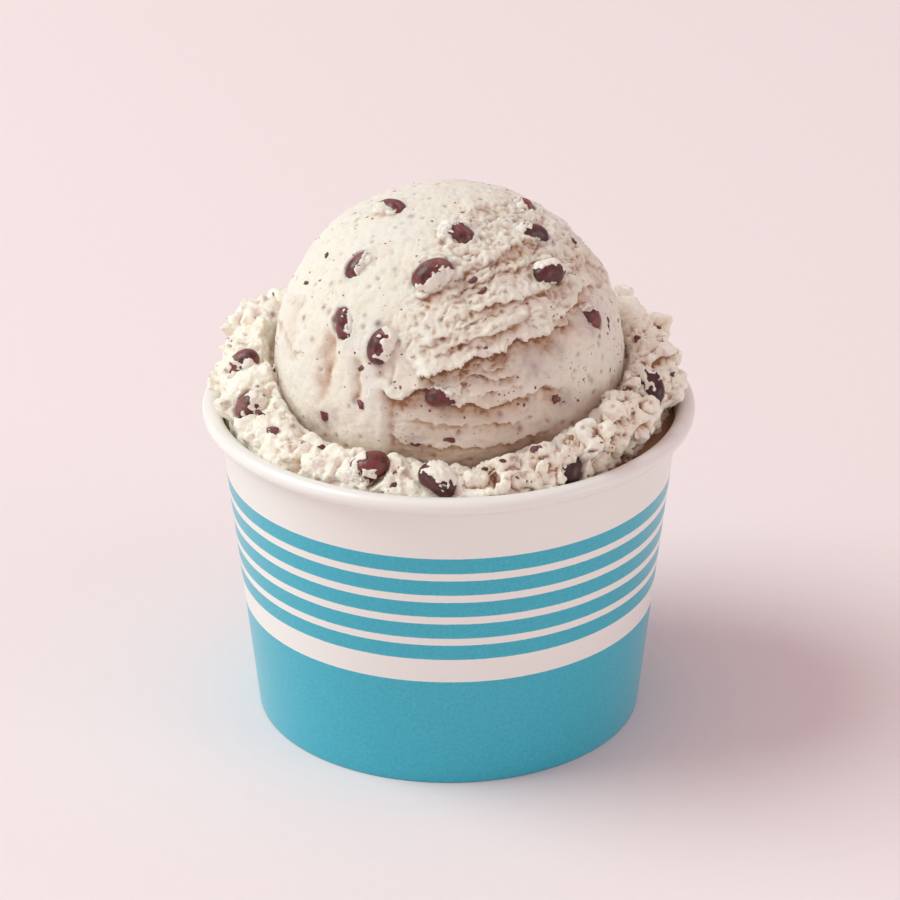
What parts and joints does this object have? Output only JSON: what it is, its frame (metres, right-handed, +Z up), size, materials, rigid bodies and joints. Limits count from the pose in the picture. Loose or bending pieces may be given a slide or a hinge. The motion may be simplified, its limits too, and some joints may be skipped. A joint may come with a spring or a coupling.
{
  "type": "gelato cup",
  "caption": "Tapered paper cup with a rolled rim, packed with red bean gelato that stands up as a ragged collar round one large scoop.",
  "frame": {"origin": "on the cup's axis, in the plane of its foot ring", "axes": "+Z up along the cup's axis; -Y faces the side with the lowest collar; +X to the right of it"},
  "size_m": [0.096, 0.096, 0.1077],
  "materials": {
    "paper_print": "white coated paperboard printed with turquoise bands, soft sheen",
    "paper_board": "white uncoated paperboard, matte",
    "gelato": "milk gelato, off-white cream with fine dark bean skins, soft and slightly moist",
    "red_bean": "cooked red bean, reddish brown, glossy skin"
  },
  "bodies": {
    "root": {"cup_wall": "paper_print", "cup_base": "paper_board", "gelato_fill": "gelato", "gelato_scoop": "gelato", "bean_01": "red_bean", "bean_02": "red_bean", "bean_03": "red_bean", "bean_04": "red_bean", "bean_05": "red_bean", "bean_06": "red_bean", "bean_07": "red_bean", "bean_08": "red_bean", "bean_09": "red_bean", "bean_10": "red_bean", "bean_11": "red_bean", "bean_12": "red_bean", "bean_13": "red_bean", "bean_14": "red_bean", "bean_15": "red_bean", "bean_16": "red_bean", "bean_17": "red_bean", "bean_18": "red_bean", "bean_19": "red_bean", "bean_20": "red_bean", "bean_21": "red_bean"}
  },
  "joints": []
}
